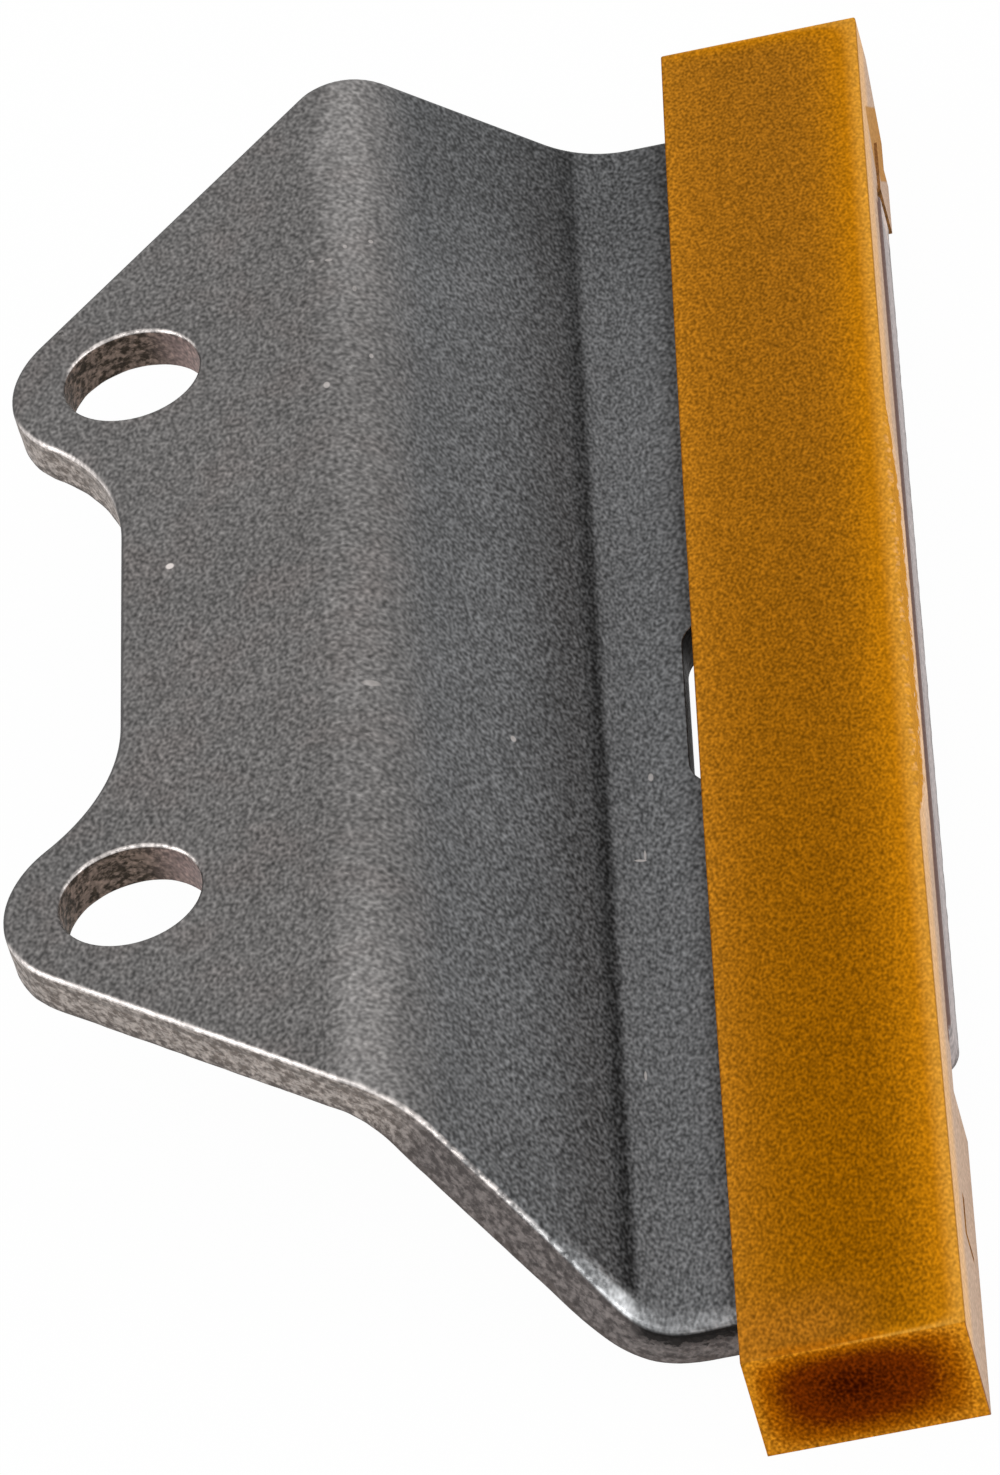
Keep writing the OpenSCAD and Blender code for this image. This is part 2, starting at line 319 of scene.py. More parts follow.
# outline of the window, clockwise because it is a hole
def windowOutline():
    width, length = sheet["window"]
    r = sheet["windowR"]
    left = shoeLow.x - sheet["windowOut"] + flatExtra + r
    right = left + width - 2 * r
    low = sheet["windowMid"] - length / 2 + r
    high = sheet["windowMid"] + length / 2 - r
    points = []
    for x, y, start in ((right, high, 90), (right, low, 0), (left, low, -90), (left, high, -180)):
        points += arcPoints((x, y), r, start, start - 90, 0.25)
    return spread(points)


# bolt hole on one side of the bolt line's middle, clockwise
def holeOutline(side):
    centre = (0, side * sheet["halfPitch"])
    return arcPoints(centre, sheet["holeR"], 360, 0, 0.4)[:-1]


# rolled, sheared and torn edge of the stamped sheet, in mm on the blank
edge = {
    "rollIn": 0.55, "rollDrop": 0.4, "rollSteps": 5,
    "cornerAt": (31.0, 0.9 - sheet["near"]), "cornerReach": 6.0,   # the near corner is rolled more
    "cornerIn": 0.75, "cornerDrop": 0.35,
    "rollShare": (1.0, 0.15, 0.6, 0.6),   # outline, window and the two holes
    "shearShare": 0.4, "wallSteps": 6, "lowR": 0.12,
    "tear": 0.04, "tearScale": (0.9, 0.9, 0.5), "tearMean": 0.6,
    "windowTaper": 0.2,
    "grid": 1.0, "bendGrid": 0.5, "gridClear": 0.9,
}


# the points of a closed outline, their inward normals, and the same with the mitre's length
def inwardNormals(points):
    loop = np.array(points)
    ahead = np.roll(loop, -1, axis=0) - loop
    ahead /= np.linalg.norm(ahead, axis=1)[:, None]
    left = np.stack([-ahead[:, 1], ahead[:, 0]], axis=1)
    both = left + np.roll(left, 1, axis=0)
    both /= np.linalg.norm(both, axis=1)[:, None]
    mitre = np.clip(np.sum(both * left, axis=1), 0.6, 1.0)
    return loop, both, both / mitre[:, None]


def insideLoops(points, loops):
    inside = np.zeros(len(points), dtype=bool)
    for loop in loops:
        for (x1, y1), (x2, y2) in zip(loop, np.roll(loop, -1, axis=0)):
            if y1 == y2:
                continue
            crosses = (points[:, 1] > y1) != (points[:, 1] > y2)
            inside ^= crosses & (points[:, 0] < (x2 - x1) * (points[:, 1] - y1) / (y2 - y1) + x1)
    return inside


def edgeDistance(points, loops):
    best = np.full(len(points), 1e9)
    for loop in loops:
        for first, second in zip(loop, np.roll(loop, -1, axis=0)):
            along = second - first
            t = np.clip(((points - first) @ along) / (along @ along), 0, 1)
            best = np.minimum(best, np.linalg.norm(points - first - t[:, None] * along, axis=1))
    return best


# staggered grid inside the outlines, closer over the bends
def innerPoints(loops):
    lowU, highU = loops[0][:, 0].min(), loops[0][:, 0].max()
    columns, u = [], lowU
    while u < highU:
        columns.append(u)
        bending = -1.5 < u - midFlat < midArc + 1 or -0.5 < u - webEnd < lastArc + 1
        u += edge["bendGrid"] if bending else edge["grid"]
    rows = np.arange(loops[0][:, 1].min(), loops[0][:, 1].max(), edge["grid"])
    grid = np.array([(u, y + (i % 2) * edge["grid"] / 2) for i, u in enumerate(columns) for y in rows])
    grid = grid[insideLoops(grid, loops)]
    return grid[edgeDistance(grid, loops) > edge["rollIn"] + edge["gridClear"]]


class SheetMesh:
    def __init__(self):
        self.places, self.normals, self.faces = [], [], []
        self.blank, self.trim = [], []

    # a vertex given on the blank: u, y, height n, its normal there, and its edge numbers, which place
    # wear, painted highlights and painted shade
    def vertex(self, u, y, n, normal, trim):
        x, z, cosTurn, sinTurn = foldAt(u, y, n)
        self.places.append((x * mm, y * mm, z * mm))
        nu, ny, nn = normal
        self.normals.append((nu * cosTurn + nn * sinTurn, ny, nn * cosTurn - nu * sinTurn))
        self.blank.append((u, y, n))
        self.trim.append(trim)
        return len(self.places) - 1

    def strip(self, above, below):
        count = len(above)
        for i in range(count):
            j = (i + 1) % count
            self.faces.append((above[i], below[i], below[j], above[j]))

    # top or bottom face between the rings, through the inner points
    def cap(self, rings, inner, n, up, edgeLoops):
        start = len(self.places)
        distances = edgeDistance(inner, edgeLoops)
        for (u, y), distance in zip(inner, distances):
            self.vertex(u, y, n, (0, 0, 1 if up else -1), (distance, 0.0, 0.0))
        ids = [i for ring in rings for i in ring] + list(range(start, len(self.places)))
        flat = [Vector(self.blank[i][:2]) for i in ids]
        edges, offset = [], 0
        for ring in rings:
            edges += [(offset + i, offset + (i + 1) % len(ring)) for i in range(len(ring))]
            offset += len(ring)
        _, _, triangles, sources, _, _ = delaunay_2d_cdt(flat, edges, [], 0, 1e-6)
        ringLoops = [np.array([self.blank[i][:2] for i in ring]) for ring in rings]
        corners = [[ids[sources[v][0]] for v in triangle] for triangle in triangles]
        middles = np.array([np.mean([self.blank[i][:2] for i in corner], axis=0) for corner in corners])
        for corner, keep in zip(corners, insideLoops(middles, ringLoops)):
            if keep:
                self.faces.append(tuple(corner if up else corner[::-1]))


# rings of the rolled edge, from the flat face down to the wall
def rollRings(built, loop, inside, inward, rollIn, rollDrop, bore):
    rings = []
    for k in range(edge["rollSteps"] + 1):
        turn = math.pi / 2 * k / edge["rollSteps"]
        wall = 1.0 if k == edge["rollSteps"] else 0.0
        ring = []
        for i in range(len(loop)):
            inset = rollIn[i] * (1 - math.sin(turn))
            n = thick - rollDrop[i] * (1 - math.cos(turn))
            u, y = loop[i] + inward[i] * inset
            across = -inside[i] * math.sin(turn) / rollIn[i]
            normal = Vector((*across, math.cos(turn) / rollDrop[i])).normalized()
            ring.append(built.vertex(u, y, n, normal, (inset, wall, bore)))
        rings.append(ring)
    return rings


# rings of the cut wall: sheared above, torn below
def wallRings(built, loop, inside, inward, rollDrop, isWindow, bore):
    rings = []
    for k in range(1, edge["wallSteps"] + 1):
        share = k / edge["wallSteps"]
        torn = max(0.0, (share - edge["shearShare"]) / (1 - edge["shearShare"]))
        ring = []
        for i in range(len(loop)):
            high = thick - rollDrop[i]
            n = high + (edge["lowR"] - high) * share
            rough = noise.noise(Vector((*loop[i], n)) * Vector(edge["tearScale"])) + edge["tearMean"]
            inset = edge["tear"] * min(1.0, torn * 2) * max(0.0, rough)
            if isWindow:
                inset = edge["windowTaper"] * torn
            u, y = loop[i] + inward[i] * inset
            ring.append(built.vertex(u, y, n, (*(-inside[i]), 0), (0.0, 1.0, bore)))
        rings.append(ring)
    return rings


# all rings of one outline, with the faces between them
def edgeRings(built, index, points):
    loop, inside, inward = inwardNormals(points)
    bore = 1.0 if index >= 2 else 0.0
    share = edge["rollShare"][index]
    toCorner = np.linalg.norm(loop - np.array(edge["cornerAt"]), axis=1) / edge["cornerReach"]
    atCorner = np.exp(-toCorner ** 2) * (0 if index else 1)
    rollIn = edge["rollIn"] * share + edge["cornerIn"] * atCorner
    rollDrop = edge["rollDrop"] * share + edge["cornerDrop"] * atCorner
    rings = rollRings(built, loop, inside, inward, rollIn, rollDrop, bore)
    rings += wallRings(built, loop, inside, inward, rollDrop, index == 1, bore)
    foot = []
    for i, step in zip(rings[-1], inward):
        u, y = np.array(built.blank[i][:2]) + step * edge["lowR"]
        foot.append(built.vertex(u, y, 0.0, (0, 0, -1), (0.0, 0.0, bore)))
    rings.append(foot)
    for above, below in zip(rings, rings[1:]):
        built.strip(above, below)
    print("sheet edge", index, "with", len(loop), "points")
    return rings


def bracketMesh():
    outlines = [blankOutline(), windowOutline(), holeOutline(-1), holeOutline(1)]
    loops = [np.array(points) for points in outlines]
    built = SheetMesh()
    rings = [edgeRings(built, index, points) for index, points in enumerate(outlines)]
    inner = innerPoints(loops)
    built.cap([ring[0] for ring in rings], inner, thick, True, loops)
    built.cap([ring[-1] for ring in rings], inner, 0.0, False, loops)
    return built


def pieceFrom(name, mesh, node):
    piece = bpy.data.objects.new(name, mesh)
    bpy.context.scene.collection.objects.link(piece)
    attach(piece, "root")
    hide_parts(node)
    return piece


def makeBracket():
    built = bracketMesh()
    mesh = bpy.data.meshes.new("stampedBracket")
    mesh.from_pydata(built.places, [], built.faces)
    mesh.validate()
    for name, rows in (("blank", built.blank), ("trim", built.trim)):
        layer = mesh.attributes.new(name, "FLOAT_VECTOR", "POINT")
        layer.data.foreach_set("vector", np.array(rows, dtype=np.float32).ravel())
    mesh.shade_smooth()
    mesh.normals_split_custom_set_from_vertices(built.normals)
    print("bracket mesh", len(mesh.vertices), "points", len(mesh.polygons), "faces")
    return pieceFrom("stampedBracket", mesh, "bracket")


# colours, places on the blank in mm and strengths of the steel's wear, its painted highlights and its
# painted shade
steelLook = {
    "face": srgb(115, 113, 112),
    "faceWarm": srgb(118, 112, 110),
    "faceCool": srgb(108, 110, 112),
    "cut": srgb(180, 171, 165),
    "cutDark": srgb(114, 105, 99),
    "cutLow": srgb(92, 85, 82),
    "cutSlope": srgb(126, 119, 117),
    "cutSlopeDark": srgb(80, 75, 74),
    # painted light on cut walls that face right, lighter and pinker at the far end
    "cutRightLit": srgb(176, 166, 164),
    "cutFarEndLit": srgb(216, 196, 186),
    "bore": srgb(130, 114, 104),
    "boreDark": srgb(60, 52, 44),
    "boreLight": srgb(168, 147, 144),
    # painted shade on the walls inside the window
    "windowWallShade": srgb(34, 29, 26),
    # painted shade on the flange's sliver right of the shoe
    "gap": srgb(116, 92, 86),
    # burnished wear, and painted highlight on rolled edges
    "burnishAndGlint": srgb(236, 228, 224),
    # painted highlight on the rounded near corner
    "corner": srgb(226, 228, 230),
    # painted shade on rolled edges that turn toward the far side and the left
    "rolledShade": srgb(46, 44, 44),
    "rough": 0.5,
    "grain": (4.4, 2.9, 3.5),   # grains per mm along the blank's axes
    "speckle": (0.95, 0.2),   # strength of the grain, and more of it past the first bend
    "shoeU": shoeLow.x + flatExtra,
    # painted highlight along the first bend
    "strip": {"u": 13.8, "wander": 2.4, "base": 0.12, "ends": 0.47, "patch": 0.1, "fleck": 0.36},
    # painted shade on the slope
    "slope": {"top": 0.1, "foot": 0.23, "far": 0.26},   # darker stretches of the slope
    # painted shade line in the second bend
    "line": {"u": webEnd + 0.28 * lastArc, "deep": 0.44, "farLess": 0.05, "endLess": 0.28},
    "beside": {"wide": 0.12, "close": 0.26},   # shade on the flange along the shoe
    "cloud": 0.3,
    # painted shade of a crack under the rolled edge on the flange's near end
    "crackShade": 0.88,
    # painted shadow of the rolled edge on the wall below it
    "under": 0.3,   # dark line on the wall just under the rolled edge
    # painted highlight spot on the rounded near corner
    "glintU": 29.4,   # bright spot on the rounded near corner
    "endU": 30.4,   # where the near edge turns into the flange's end
    # light marks: u, y, half sizes in mm, strength
    "marks": (
        (2.55, 5.3, 0.28, 0.3, 1.0), (23.7, -10.5, 0.2, 0.3, 0.5), (32.4, -19.1, 0.45, 0.12, 0.5),
        (32.75, -18.6, 0.1, 0.5, 0.45), (14.65, -9.6, 0.5, 0.3, 0.35), (33.5, -11.1, 0.2, 0.4, 0.4),
        (12.7, 20.8, 0.17, 0.35, 0.5), (15.0, 24.0, 0.12, 0.25, 0.4), (15.1, 36.4, 0.14, 0.2, 0.45),
        (12.9, 34.1, 0.2, 0.16, 0.4), (13.75, 35.5, 0.12, 0.2, 0.4), (12.0, 34.2, 0.16, 0.14, 0.3),
        (14.2, 31.0, 0.12, 0.3, 0.3), (31.85, -39.3, 0.1, 0.45, 0.45),
    ),
}


# coordinates, edge numbers and noises that the steel's colours, wear and painted light share
def steelGround():
    look = Finish(bpy.data.materials.new("tumbledSteel"))
    place = look.attribute("blank")
    look.u, look.y, look.n = look.parts(place)
    look.inset, look.wall, look.bore = look.parts(look.attribute("trim"))
    look.facing = look.parts(look.coords("Normal"))
    look.grain = look.grainOn(place, steelLook["grain"])
    look.cloud = look.noise(place, 0.07, 3.0)
    look.tint = look.noise(place, 0.22, 2.0)
    look.patch = look.noise(look.stretched(place, (0.7, 0.16, 1.0)), 1.0, 3.0, 0.55)
    look.mottle = look.noise(look.stretched(place, (1.6, 1.6, 2.6)), 1.0, 3.0, 0.65)
    strength, more = steelLook["speckle"]
    look.speckle = (look.grain - 0.5) * (strength + look.u.step(15.0, 24.0) * more)
    endU = steelLook["endU"]
    look.endPart = look.u.step(endU - 0.7, endU + 0.7) * look.y.fade(-60.5, -59.5)
    return look


# painted highlight along the first bend, strongest toward both ends, broken up by patches and flecks
def bendHighlight(look):
    strip = steelLook["strip"]
    across = look.u + (look.patch - 0.5) * strip["wander"] - strip["u"]
    ends = (look.y * look.y).step(400.0, 1900.0) * strip["ends"]
    patches = look.patch.step(0.35, 0.75) * strip["patch"]
    flecks = look.mottle.step(0.58, 0.68) * strip["fleck"]
    return across.step(-2.2, -0.1) * across.fade(0.4, 2.6) * (strip["base"] + ends + patches + flecks)


# painted shade: darker slope, and the dark line in the second bend
def slopeShade(look):
    u, y = look.u, look.y
    slope, line = steelLook["slope"], steelLook["line"]
    past = u - line["u"]
    fall = u.step(16.0, 18.5) * slope["top"] + u.step(22.0, line["u"] - 0.5) * slope["foot"]
    far = u.step(16.0, 19.0) * y.step(34.0, 47.0) * slope["far"]
    deep = line["deep"] - y.step(0.0, 30.0) * line["farLess"] - y.step(32.0, 48.0) * line["endLess"]
    return fall * past.fade(0.1, 1.0) + far + past.step(-1.4, 0.0) * past.fade(0.1, 0.8) * deep


# rolled faces with their grain and marks, the painted highlight on the first bend, and painted shade on
# the slope, beside the shoe and on the sliver right of the shoe
def steelFace(look):
    u, y = look.u, look.y
    face = look.mix(look.tint.step(0.45, 0.75) * 0.5, steelLook["face"], steelLook["faceWarm"])
    face = look.mix(u.step(14.5, 19.0) * 0.8, face, steelLook["faceCool"])
    toShoe = steelLook["shoeU"] - u
    beside = toShoe.fade(1.4, 2.0) * steelLook["beside"]["wide"]
    beside = beside + toShoe.fade(0.95, 1.45) * steelLook["beside"]["close"]
    shade = (1 + bendHighlight(look) - slopeShade(look)) * (1 - beside)
    shade = shade * (1 + (look.cloud - 0.5) * steelLook["cloud"])
    shade = (shade.most(0.01) ** (1 / 2.2) + look.speckle).most(0.1) ** 2.2
    face = look.shaded(face, shade)
    # painted shade on the flange's sliver right of the shoe
    face = look.mix((toShoe * -1).step(12.9, 13.1), face, steelLook["gap"])
    for markU, markY, halfU, halfY, strength in steelLook["marks"]:
        offU, offY = (u - markU) / halfU, (y - markY) / halfY
        spot = (offU * offU + offY * offY).fade(0.4, 1.3) * strength
        face = look.mix(spot, face, steelLook["burnishAndGlint"])
    return face


# cut walls: pinkish mottle, greyer down the slope, dark at the torn foot, with painted light where they
# face right and painted shade in the window, in the crack and under the rolled edge
def steelCut(look):
    u, y, n, mottle = look.u, look.y, look.n, look.mottle
    cut = look.mix(mottle.step(0.36, 0.64), steelLook["cutDark"], steelLook["cut"])
    slopeCut = look.mix(mottle.step(0.34, 0.66), steelLook["cutSlopeDark"], steelLook["cutSlope"])
    cut = look.mix(u.step(14.0, 18.0) * 0.95, cut, slopeCut)
    # painted light on cut walls that face right
    right = look.mix(y.step(41.4, 42.4) * 0.8, steelLook["cutRightLit"], steelLook["cutFarEndLit"])
    cut = look.mix(look.facing[0].step(0.5, 0.9), cut, right)
    low = (n + (mottle - 0.5) * 1.6).fade(0.1, 0.7) * 0.75
    cut = look.mix(low, cut, steelLook["cutLow"])
    lining = look.mix(mottle.step(0.4, 0.62), steelLook["boreDark"], steelLook["bore"])
    lining = look.mix(u.step(0.2, 3.4) * 0.6, lining, steelLook["boreLight"])
    cut = look.mix(look.bore, cut, lining)
    shoeU = steelLook["shoeU"]
    # painted shade on the walls inside the window
    inWindow = u.band(shoeU - 2.5, shoeU + 9.0, 0.2) * y.band(-14.0, 5.0, 0.2)
    cut = look.mix(inWindow, cut, steelLook["windowWallShade"])
    # painted shade of a crack under the rolled edge on the flange's near end
    crackShade = (n + (mottle - 0.5) * 2.2).step(1.4, 1.9) * look.endPart * steelLook["crackShade"]
    # painted shadow of the rolled edge on the wall below it
    under = n.band(2.2, 2.38, 0.12) * (1 - look.bore) * mottle.step(0.36, 0.5) * steelLook["under"]
    grainy = (1 + look.speckle * (0.4 + look.bore * 0.4)).most(0.3) ** 2.2
    return look.shaded(cut, (1 - crackShade) * (1 - under) * grainy)


# bright wear with painted highlight where a rolled edge faces the near side, widest on the near corner,
# with a painted highlight spot there
def steelRubAndGlint(look):
    u, y, inset, mottle = look.u, look.y, look.inset, look.mottle
    toward = (look.facing[1] * -1).step(0.12, 0.4) * (1 - look.wall)
    worn = 0.5 + look.patch.step(0.3, 0.6) * 0.2 + mottle.step(0.4, 0.6) * 0.3
    worn = worn - u.step(15.0, 19.0) * mottle.fade(0.42, 0.58) * 0.4
    worn = worn * (1 - u.band(13.2, 14.4, 0.8) * 0.5) * (1 - look.endPart * 0.7)
    worn = worn * (1 - look.bore * (0.45 - mottle.step(0.4, 0.56) * 0.45))
    away = u - steelLook["glintU"]
    spot = (away * away).decay(1.0) * inset.fade(0.6, 1.3) * y.fade(-57.0, -54.0)
    leading = u.step(24.5, 29.0) * (1 - u.step(30.2, 31.4) * 0.6)
    leading = leading * inset.fade(0.55, 1.6) * y.fade(-49.0, -46.0)
    leading = (leading * (0.24 + mottle.step(0.38, 0.62) * 0.36)).most(spot) * (1 - look.wall)
    return (inset.fade(0.08, 0.3) * worn * (1 - u.step(18.0, 27.0) * 0.3) * toward).most(leading)


def steelFinish():
    look = steelGround()
    rubAndGlint, wall = steelRubAndGlint(look), look.wall
    # painted shade on rolled edges that turn toward the far side and the left
    rolledShade = (look.facing[1] - look.facing[0]).step(0.25, 0.7) * (1 - wall)
    face = look.mix(rolledShade * 0.75, steelFace(look), steelLook["rolledShade"])
    # painted highlight colour on rolled edges, turning to the near corner's highlight
    bright = look.mix(look.u.step(20.0, 27.0), steelLook["burnishAndGlint"], steelLook["corner"])
    bright = look.shaded(bright, 1 + look.speckle * 0.9)
    colour = look.mix(wall, look.mix(rubAndGlint, face, bright), steelCut(look))
    rough = steelLook["rough"] + (look.grain - 0.5) * 0.3 - rubAndGlint * 0.2 + wall * 0.1
    relief = look.grain * 0.4 + wall * look.mottle * 2
    normal = look.add("Bump", None, {"Strength": 0.25, "Distance": 0.0001, "Height": relief})
    return look.surface(Base_Color=colour, Metallic=0.9, Roughness=rough, Normal=normal)


# moulded shoe: small edge rounding and a worn burr on the right top edge, in mm
shoe = {
    "edgeR": 0.13, "edgeSteps": 2, "sharpDeg": 30.0,
    "crown": 1.5, "layerEnd": 3.5, "sideX": shoeHigh.x - 0.2,
    "burr": 0.19, "burrFrom": -26.0, "burrTo": 17.0, "burrPitch": 0.4, "burrFade": 5.0,
    "slit": (-58.1, 3.4, 2.4, 0.4),   # near end, run, drop and width of the relief slit
}


# height of the running face at y
def crownAt(y):
    half = (shoeHigh.y - shoeLow.y) / 2
    share = (y - shoeLow.y - half) / half
    return flangeTop + shoe["layerEnd"] + shoe["crown"] * (1 - share ** 2)


# edges of the running layer and the end blocks that can be seen and touched
def isOuter(e):
    ends = [v.co / mm for v in e.verts]
    top = all(p.z > flangeTop + 1 for p in ends)
    endFace = any(all(abs(p.y - y) < 0.01 for p in ends) for y in (shoeLow.y, shoeHigh.y))
    return top or endFace


def roundEdges(work):
    limit = math.radians(shoe["sharpDeg"])
    sharp = [e for e in work.edges if len(e.link_faces) == 2 and e.calc_face_angle(0) > limit]
    outer = [e for e in sharp if isOuter(e)]
    bmesh.ops.bevel(
        work, geom=outer, offset=shoe["edgeR"] * mm, offset_type="OFFSET",
        segments=shoe["edgeSteps"], profile=0.5, affect="EDGES", clamp_overlap=True,
    )


# cuts across the shoe, then pushes the right top edge out unevenly
def raiseBurr(work):
    start, end = shoe["burrFrom"], shoe["burrTo"]
    for y in np.arange(start, end, shoe["burrPitch"]):
        everything = work.verts[:] + work.edges[:] + work.faces[:]
        bmesh.ops.bisect_plane(
            work, geom=everything, plane_co=(0, y * mm, 0), plane_no=(0, 1, 0), dist=1e-7,
        )
    for v in work.verts:
        x, y, z = v.co / mm
        onEdge = x > shoe["sideX"] - 0.01 and crownAt(y) - 0.3 < z < crownAt(y)
        if onEdge and start < y < end:
            fade = min(1.0, (y - start) / shoe["burrFade"], (end - y) / shoe["burrFade"])
            coarse, fine = [noise.noise(Vector(p)) for p in ((0.3, y * 0.7, 0.0), (2.3, y * 2.1, 0.0))]
            ragged = coarse + 0.7 * fine
            v.co.x += shoe["burr"] * mm * fade * min(1.0, max(0.2, 0.75 + ragged))


def makeShoe():
    work = bmesh.new()
    work.from_mesh(frame["nodes"]["shoe"].data)
    bmesh.ops.remove_doubles(work, verts=work.verts, dist=1e-6)
    bmesh.ops.dissolve_limit(work, angle_limit=math.radians(0.05), verts=work.verts, edges=work.edges)
    roundEdges(work)
    raiseBurr(work)
    mesh = bpy.data.meshes.new("nylonShoe")
    work.to_mesh(mesh)
    work.free()
    mesh.shade_smooth()
    mesh.set_sharp_from_angle(angle=math.radians(shoe["sharpDeg"]))
    print("shoe mesh", len(mesh.vertices), "points", len(mesh.polygons), "faces")
    return pieceFrom("nylonShoe", mesh, "shoe")


# colours of the nylon, with its painted sheen, glow and shade, and the depths in mm over which they
# change
nylonLook = {
    "near": srgb(139, 84, 1),
    "far": srgb(151, 96, 21),
    "gold": srgb(182, 115, 10),
    "nearEnd": srgb(164, 103, 28),
    "rim": srgb(207, 144, 48),
    "left": srgb(180, 117, 28),
    "leftLine": srgb(112, 62, 18),
    "burr": srgb(226, 172, 112),
    # painted glow on the end faces' rims and painted shade toward their dark core
    "endRimGlow": srgb(202, 131, 28),
    "amber": srgb(158, 87, 3),
    "ember": srgb(100, 38, 1),
    "deep": srgb(60, 14, 0),
    "ledge": srgb(150, 106, 62),
    # painted sheen: the right side's pale colour, with painted shade lower down
    "side": srgb(224, 182, 138),
    "sideLowShade": srgb(196, 170, 150),
    "edge": srgb(172, 120, 48),
    "matt": srgb(188, 140, 86),
    "peach": srgb(238, 200, 164),
    "overhang": srgb(204, 142, 52),
    # painted shade where the side meets the flange
    "foot": srgb(112, 84, 76),
    "slit": srgb(160, 116, 74),
    "corner": srgb(138, 82, 26),
    "rough": 0.5,
    "grain": (5.3, 3.4, 4.2),   # grains per mm
    "speckle": 0.68,
    "rimSink": {"right": 2.45, "far": 0.9, "near": 0.4, "left": 1.7},   # on the running face
    "endSink": {"side": 1.95, "top": 1.15, "low": 1.75},   # on an end face
    "overhangY": (-17.0, 8.0, 10.0),   # where the right top edge hangs over, and its soft ends
    "overhangDeep": (3.0, 5.0),   # its mean depth and its raggedness
    "patch": (47.6, -9.7, 5.3),   # foot of the matt patch on the far block's side, and its length
    "patchAlong": (0.611, 0.791),   # direction of the patch in y and z
    "patchAcross": (0.53, -0.848),
}


# coordinates and noises that the nylon's colours share
def nylonGround():
    look = Finish(bpy.data.materials.new("amberNylon"))
    place = look.stretched(look.coords("Object"), (1 / mm,) * 3)
    look.x, look.y, look.z = look.parts(place)
    look.facing = look.parts(look.coords("Normal"))
    look.fromLeft = look.x - shoeLow.x
    look.fromRight = shoe["sideX"] - look.x
    look.fromNear = look.y - shoeLow.y
    look.fromFar = shoeHigh.y - look.y
    look.aboveFlange = look.z - flangeTop
    look.share = (look.y - (shoeLow.y + shoeHigh.y) / 2) / ((shoeHigh.y - shoeLow.y) / 2)
    highest = flangeTop + shoe["layerEnd"] + shoe["crown"]
    look.fromTop = highest - look.share * look.share * shoe["crown"] - look.z
    look.grain = look.grainOn(place, nylonLook["grain"])
    look.speckle = (1 + (look.grain - 0.5) * nylonLook["speckle"]).most(0.2) ** 2.2
    look.torn = look.noise(look.stretched(place, (2.0, 1.4, 2.0)), 1.0, 2.0, 0.6)
    rimSink = nylonLook["rimSink"]
    look.within = (1 - look.fromRight.decay(rimSink["right"])) * (1 - look.fromFar.decay(rimSink["far"]))
    look.within = look.within * (1 - look.fromNear.decay(rimSink["near"]))
    return look


# running face: lighter toward its borders, where light comes through
def runningFace(look):
    fromLeft, fromNear = look.fromLeft, look.fromNear
    middle = look.mix(look.share.step(-0.9, 1.0), nylonLook["near"], nylonLook["far"])
    colour = look.mix(look.within.step(0.3, 0.95), nylonLook["gold"], middle)
    colour = look.mix(look.within.step(0.05, 0.4), nylonLook["rim"], colour)
    colour = look.mix(fromLeft.decay(nylonLook["rimSink"]["left"]) * 0.85, colour, nylonLook["left"])
    colour = look.mix(fromLeft.fade(0.02, 0.16) * 0.6, colour, nylonLook["leftLine"])
    atNearEnd = fromNear.fade(1.5, 7.0) * fromLeft.fade(4.0, 10.0) * 0.6
    colour = look.mix(atNearEnd, colour, nylonLook["nearEnd"])
    atNearEdge = fromNear.fade(0.1, 1.0) * fromLeft.band(2.5, 7.5, 1.5) * 0.7
    colour = look.mix(atNearEdge, colour, nylonLook["amber"])
    ragged = look.torn.step(0.48, 0.62) * look.fromRight.fade(0.02, 0.3) * look.y.band(-20.0, 11.0, 5.0)
    return look.mix(ragged * 0.45, colour, nylonLook["burr"])


# end faces: painted glow along the borders, where light comes in, and painted shade that deepens toward
# the middle of the face
def endFace(look):
    sink = nylonLook["endSink"]
    dark = 1 - look.fromLeft.least(look.fromRight * 0.8).decay(sink["side"])
    dark = dark * (1 - (look.z - shoeLow.z).decay(sink["low"]))
    dark = dark * (1 - (look.fromTop + 0.12).decay(sink["top"]))
    dark = dark - (look.speckle - 1) * 0.1
    end = look.mix(dark.step(0.0, 0.34), nylonLook["endRimGlow"], nylonLook["amber"])
    end = look.mix(dark.step(0.26, 0.66), end, nylonLook["ember"])
    return look.mix(dark.step(0.66, 0.9), end, nylonLook["deep"])


# matt patch on the far block's side
def mattPatch(look):
    footY, footZ, run = nylonLook["patch"]
    offY, offZ = look.y - footY, look.z - footZ
    axes = (nylonLook["patchAlong"], nylonLook["patchAcross"])
    along, across = [offY * dirY + offZ * dirZ for dirY, dirZ in axes]
    return along.band(0.2, run - 0.2, 0.2) * across.step(-1.6, -1.2)


